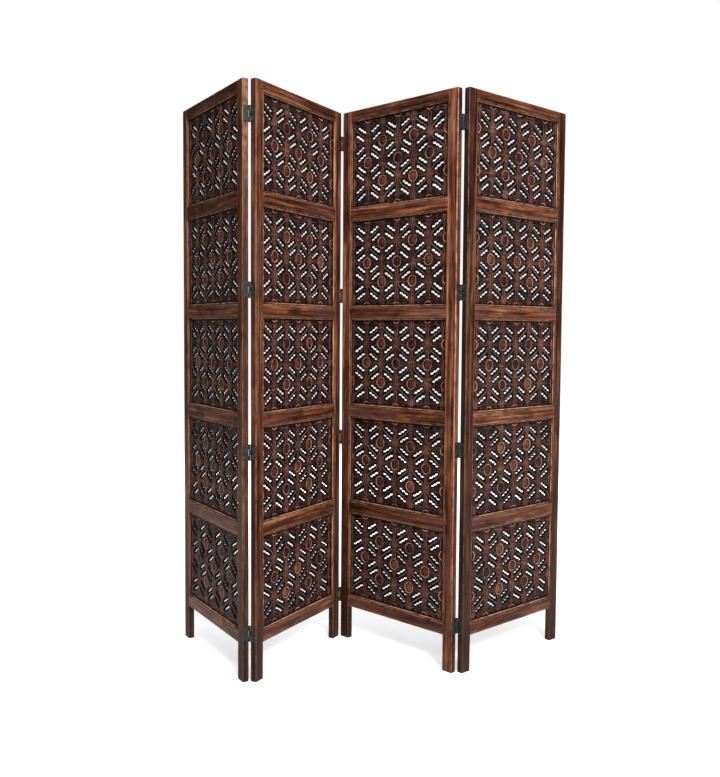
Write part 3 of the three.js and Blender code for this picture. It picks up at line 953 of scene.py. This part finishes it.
def build_panels():
    xy, n, masks, faces = panel_base()
    base = bpy.data.meshes.new("panel")
    base.from_pydata(np.column_stack([xy[:, 0], n, xy[:, 1]]).tolist(), [], faces.tolist())
    base.polygons.foreach_set("use_smooth", [True] * len(base.polygons))
    set_colours(base, "m", masks)
    set_vectors(base, "g", np.zeros((len(xy), 3)))
    base.transform(Matrix.Scale(MM, 4))
    base.set_sharp_from_angle(angle=math.radians(42))
    base.validate()
    print("panel triangles", len(faces))
    x, y = xy[:, 0], xy[:, 1]
    hold = smooth((EDGE_X - 8 - np.abs(x)) / 8) * smooth((EDGE_Y - 8 - np.abs(y)) / 8)
    # the slots of the lower rows were cut narrower
    pull = np.zeros((len(x), 2))
    for loop in hole_loops():
        a, b = np.asarray(loop[43]), np.asarray(loop[21])
        along = (b - a) / np.hypot(*(b - a))
        across = np.array([-along[1], along[0]])
        rel = xy - (a + b) / 2
        u, w = rel @ along, rel @ across
        pull -= (smooth((24 - np.abs(u)) / 3) * np.tanh(w / 1.5) * np.exp(-(w / 7.0) ** 2))[:, None] * across
    for i in range(4):
        for k, z0 in enumerate(OPEN_Z):
            mesh = base.copy()
            # each was cut by hand, so the pattern wanders by a fraction of a millimetre
            dx, dy = np.zeros(len(x)), np.zeros(len(x))
            for wave, amp in ((95, 0.75), (48, 0.5), (27, 0.28)):
                for _ in range(3):
                    ang, ph = rng.uniform(0, 2 * math.pi, 2)
                    f = 2 * math.pi / (wave * rng.uniform(0.8, 1.25))
                    w = np.sin(f * (x * math.cos(ang) + y * math.sin(ang)) + ph)
                    d = rng.uniform(0, 2 * math.pi)
                    dx += amp * 0.55 * w * math.cos(d)
                    dy += amp * 0.55 * w * math.sin(d)
            slide = SLIDE[i] * smooth((EDGE_X - 1 - np.abs(x)) / 19)
            tight = TIGHT[k] * (1.45 if i == 2 else 1.0)
            px, py = x + dx * hold + slide + tight * pull[:, 0], y + dy * hold + tight * pull[:, 1]
            deep = 0.10 * np.sin(x * 0.9 + rng.uniform(0, 6)) * np.sin(y * 0.8 + rng.uniform(0, 6)) * (n < 9.5) * hold
            v = np.column_stack([STILE + OPEN_W / 2 + px, np.clip(n + deep, 6.5, BACK), z0 + OPEN_H / 2 + py])
            mesh.vertices.foreach_set("co", (v * MM).astype(np.float32).ravel())
            g = v[:, [0, 2, 1]] * MM + rng.uniform(-3, 3, 3)
            mesh.attributes["g"].data.foreach_set("vector", g.astype(np.float32).ravel())
            mesh.update()
            place(f"leaf_{i + 1}_carving_{k + 1}", mesh, i, [f"leaf_{i + 1}_panel_{k + 1}"], PANEL_WOOD)


# ------------------------------------------------------------------ hinges
def hinge_half(i, end, side, z_mid, name, node, pinned):
    """p runs out from the leaf's edge, q runs in from the face beside the pin."""
    verts, faces = [], []

    def prism(outline, lo, hi, axis, chamfer=0.0):
        """outline pulled along p or z, with its end edges eased."""
        pts = np.array(outline, float)
        mid = pts.mean(0)
        rings = []
        steps = [(lo, chamfer), (lo + chamfer, 0), (hi - chamfer, 0), (hi, chamfer)] if chamfer else [(lo, 0), (hi, 0)]
        for at, shrink in steps:
            ring = []
            for a in pts:
                d = a - mid
                length = max(np.hypot(*d), 1e-9)
                b = a - d / length * shrink
                ring.append({"z": (b[0], b[1], at), "p": (at, b[0], b[1])}[axis])
            rings.append(ring)
        base = len(verts)
        k = len(pts)
        for ring in rings:
            verts.extend(ring)
        for r in range(len(rings) - 1):
            for j in range(k):
                w = (j + 1) % k
                faces.append((base + r * k + j, base + r * k + w, base + (r + 1) * k + w, base + (r + 1) * k + j))
        faces.append(tuple(base + j for j in range(k)))
        faces.append(tuple(base + (len(rings) - 1) * k + j for j in range(k - 1, -1, -1)))

    z0, z1 = z_mid - 25.0, z_mid + 25.0
    # plate with rounded corners away from the pin
    q0, q1, r = 0.6, 17.0, 2.4
    outline = [(q0, z0), (q1 - r, z0)]
    outline += [(q1 - r + r * math.sin(a), z0 + r - r * math.cos(a)) for a in np.linspace(0.3, 1.3, 4)]
    outline += [(q1, z0 + r), (q1, z1 - r)]
    outline += [(q1 - r + r * math.cos(a), z1 - r + r * math.sin(a)) for a in np.linspace(0.3, 1.3, 4)]
    outline += [(q1 - r, z1), (q0, z1)]
    prism(outline, 0.3, 1.3, "p", 0.16)
    # knuckles rolled from the plate
    R, cx, cy = 2.6, 1.8, -2.4
    a0 = math.atan2(-0.276 - cy, 0.3 - cx)
    a1 = math.atan2(0.151 - cy, 1.3 - cx)
    turn = np.linspace(a0, a1 + 2 * math.pi, 22)
    shape = [(0.3, 1.8)] + [(cx + R * math.cos(a), cy + R * math.sin(a)) for a in turn] + [(1.3, 1.8)]
    spans = [(z0, z0 + 15.5), (z1 - 15.5, z1)] if pinned else [(z0 + 16.0, z1 - 16.0)]
    for a, b in spans:
        prism(shape, a, b, "z", 0.22)
    if pinned:
        prism([(cx + 1.15 * math.cos(a), cy + 1.15 * math.sin(a)) for a in np.linspace(0, 2 * math.pi, 16, endpoint=False)], z0 + 1, z1 - 1, "z")
    # countersunk screws with a slot across the head
    for q, z in ((5.2, z0 + 8), (12.2, z0 + 19), (5.2, z1 - 19), (12.2, z1 - 8)):
        k = 20
        turn = rng.uniform(0, math.pi)
        base = len(verts)
        rings = [(2.55, 1.22), (2.35, 1.33), (1.7, 1.42), (0.9, 1.46)]
        for rad, p in rings:
            for j in range(k):
                a = turn + 2 * math.pi * j / k
                # the slot runs along a = turn
                y = rad * math.sin(a - turn)
                cut = 0.22 if abs(y) < 0.34 and rad < 2.5 else 0.0
                verts.append((p - cut, q + rad * math.cos(a), z + rad * math.sin(a)))
        for r_ in range(3):
            for j in range(k):
                w = (j + 1) % k
                faces.append((base + r_ * k + j, base + r_ * k + w, base + (r_ + 1) * k + w, base + (r_ + 1) * k + j))
        verts.append((1.24, q, z))
        for j in range(k):
            faces.append((base + 3 * k + j, base + 3 * k + (j + 1) % k, len(verts) - 1))
        verts.append((1.05, q, z))
        for j in range(k):
            faces.append((base + (j + 1) % k, base + j, len(verts) - 1))
    v = np.array(verts)
    s = LEAF_W + v[:, 0] if end == "right" else -v[:, 0]
    nn = LEAF_T - v[:, 1] if side == "back" else v[:, 1]
    mesh = bpy.data.meshes.new(name)
    mesh.from_pydata((np.column_stack([s, nn, v[:, 2]]) * MM).tolist(), [], faces)
    finish_mesh(mesh, 32)
    place(name, mesh, i, [node], HINGE_STEEL)


for leaf in range(4):
    build_frame(leaf)
build_panels()
for fold, (name, side) in enumerate((("12", "back"), ("23", "front"), ("34", "back"))):
    for where, z in HINGE_Z.items():
        hinge_half(fold, "right", side, z, f"hinge_{name}_{where}_left", f"hinge_{name}_{where}_left_plate", True)
        hinge_half(fold + 1, "left", side, z, f"hinge_{name}_{where}_right", f"hinge_{name}_{where}_right_plate", False)

# ------------------------------------------------------------------ floor, light, camera
t = Tree("floor_pale")
co = t.node("ShaderNodeTexCoord").outputs["Object"]
t.link(t.ramp(t.noise(co, 3.0, 3.0, 0.5), [(0.3, (0.90, 0.90, 0.90)), (0.7, (0.92, 0.92, 0.915))]), t.bsdf.inputs["Base Color"])
t.bsdf.inputs["Roughness"].default_value = 0.8
t.bsdf.inputs["Emission Color"].default_value = (1, 1, 1, 1)
away = t.node("ShaderNodeVectorMath", operation="LENGTH")
t.link(co, away.inputs[0])
seen = t.node("ShaderNodeLightPath").outputs["Is Camera Ray"]
t.link(t.math("MULTIPLY", seen, t.span(away.outputs["Value"], 1.2, 3.0, 0.30, 1.0)), t.bsdf.inputs["Emission Strength"])
t.bsdf.inputs["Specular IOR Level"].default_value = 0.1
mesh = bpy.data.meshes.new("floor")
mesh.from_pydata([(-14, -14, 0), (14, -14, 0), (14, 14, 0), (-14, 14, 0)], [], [(0, 1, 2, 3)])
mesh.materials.append(t.mat)
floor = bpy.data.objects.new("floor", mesh)
bpy.context.scene.collection.objects.link(floor)

world = bpy.data.worlds.new("studio")
bpy.context.scene.world = world
world.use_nodes = True
wn = world.node_tree
bg = wn.nodes["Background"]
bg.inputs["Color"].default_value = (1.0, 1.0, 1.0, 1)
path = wn.nodes.new("ShaderNodeLightPath")
strength = wn.nodes.new("ShaderNodeMapRange")
strength.inputs[3].default_value = 0.11
strength.inputs[4].default_value = 1.0
wn.links.new(path.outputs["Is Camera Ray"], strength.inputs[0])
wn.links.new(strength.outputs[0], bg.inputs["Strength"])


def area(name, at, look, size, power, colour=(1, 1, 1)):
    d = bpy.data.lights.new(name, "AREA")
    d.shape = "RECTANGLE"
    d.size, d.size_y = size
    d.energy = power
    d.color = colour
    o = bpy.data.objects.new(name, d)
    bpy.context.scene.collection.objects.link(o)
    o.location = at
    o.rotation_euler = (Vector(look) - Vector(at)).to_track_quat("-Z", "Y").to_euler()
    return o


area("key", (1.25, -4.2, 3.1), (0.0, 0.0, 1.0), (1.4, 1.0), 300, (1.0, 0.985, 0.965))
area("overhead", (0.0, -0.6, 4.4), (0.0, 0.0, 0.0), (4.5, 4.0), 140, (1.0, 1.0, 1.0))
area("behind", (-1.3, 4.3, 2.9), (0.0, 0.0, 1.0), (1.6, 1.2), 150, (0.98, 0.99, 1.0))

cam_data = bpy.data.cameras.new("camera")
cam = bpy.data.objects.new("camera", cam_data)
bpy.context.scene.collection.objects.link(cam)
cam_data.sensor_fit = "HORIZONTAL"
cam_data.sensor_width = 36.0
cam_data.lens = 46.01
cam_data.shift_x = 0.0018
cam_data.shift_y = -0.0025
cam_data.clip_end = 100
cam.location = (-0.0472, -3.0024, 1.0816)
cam.rotation_euler = (Matrix.Rotation(math.radians(90 - 3.447), 4, "X") @ Matrix.Rotation(math.radians(0.38), 4, "Z")).to_euler()
bpy.context.scene.camera = cam
bpy.context.scene.view_settings.view_transform = "Standard"
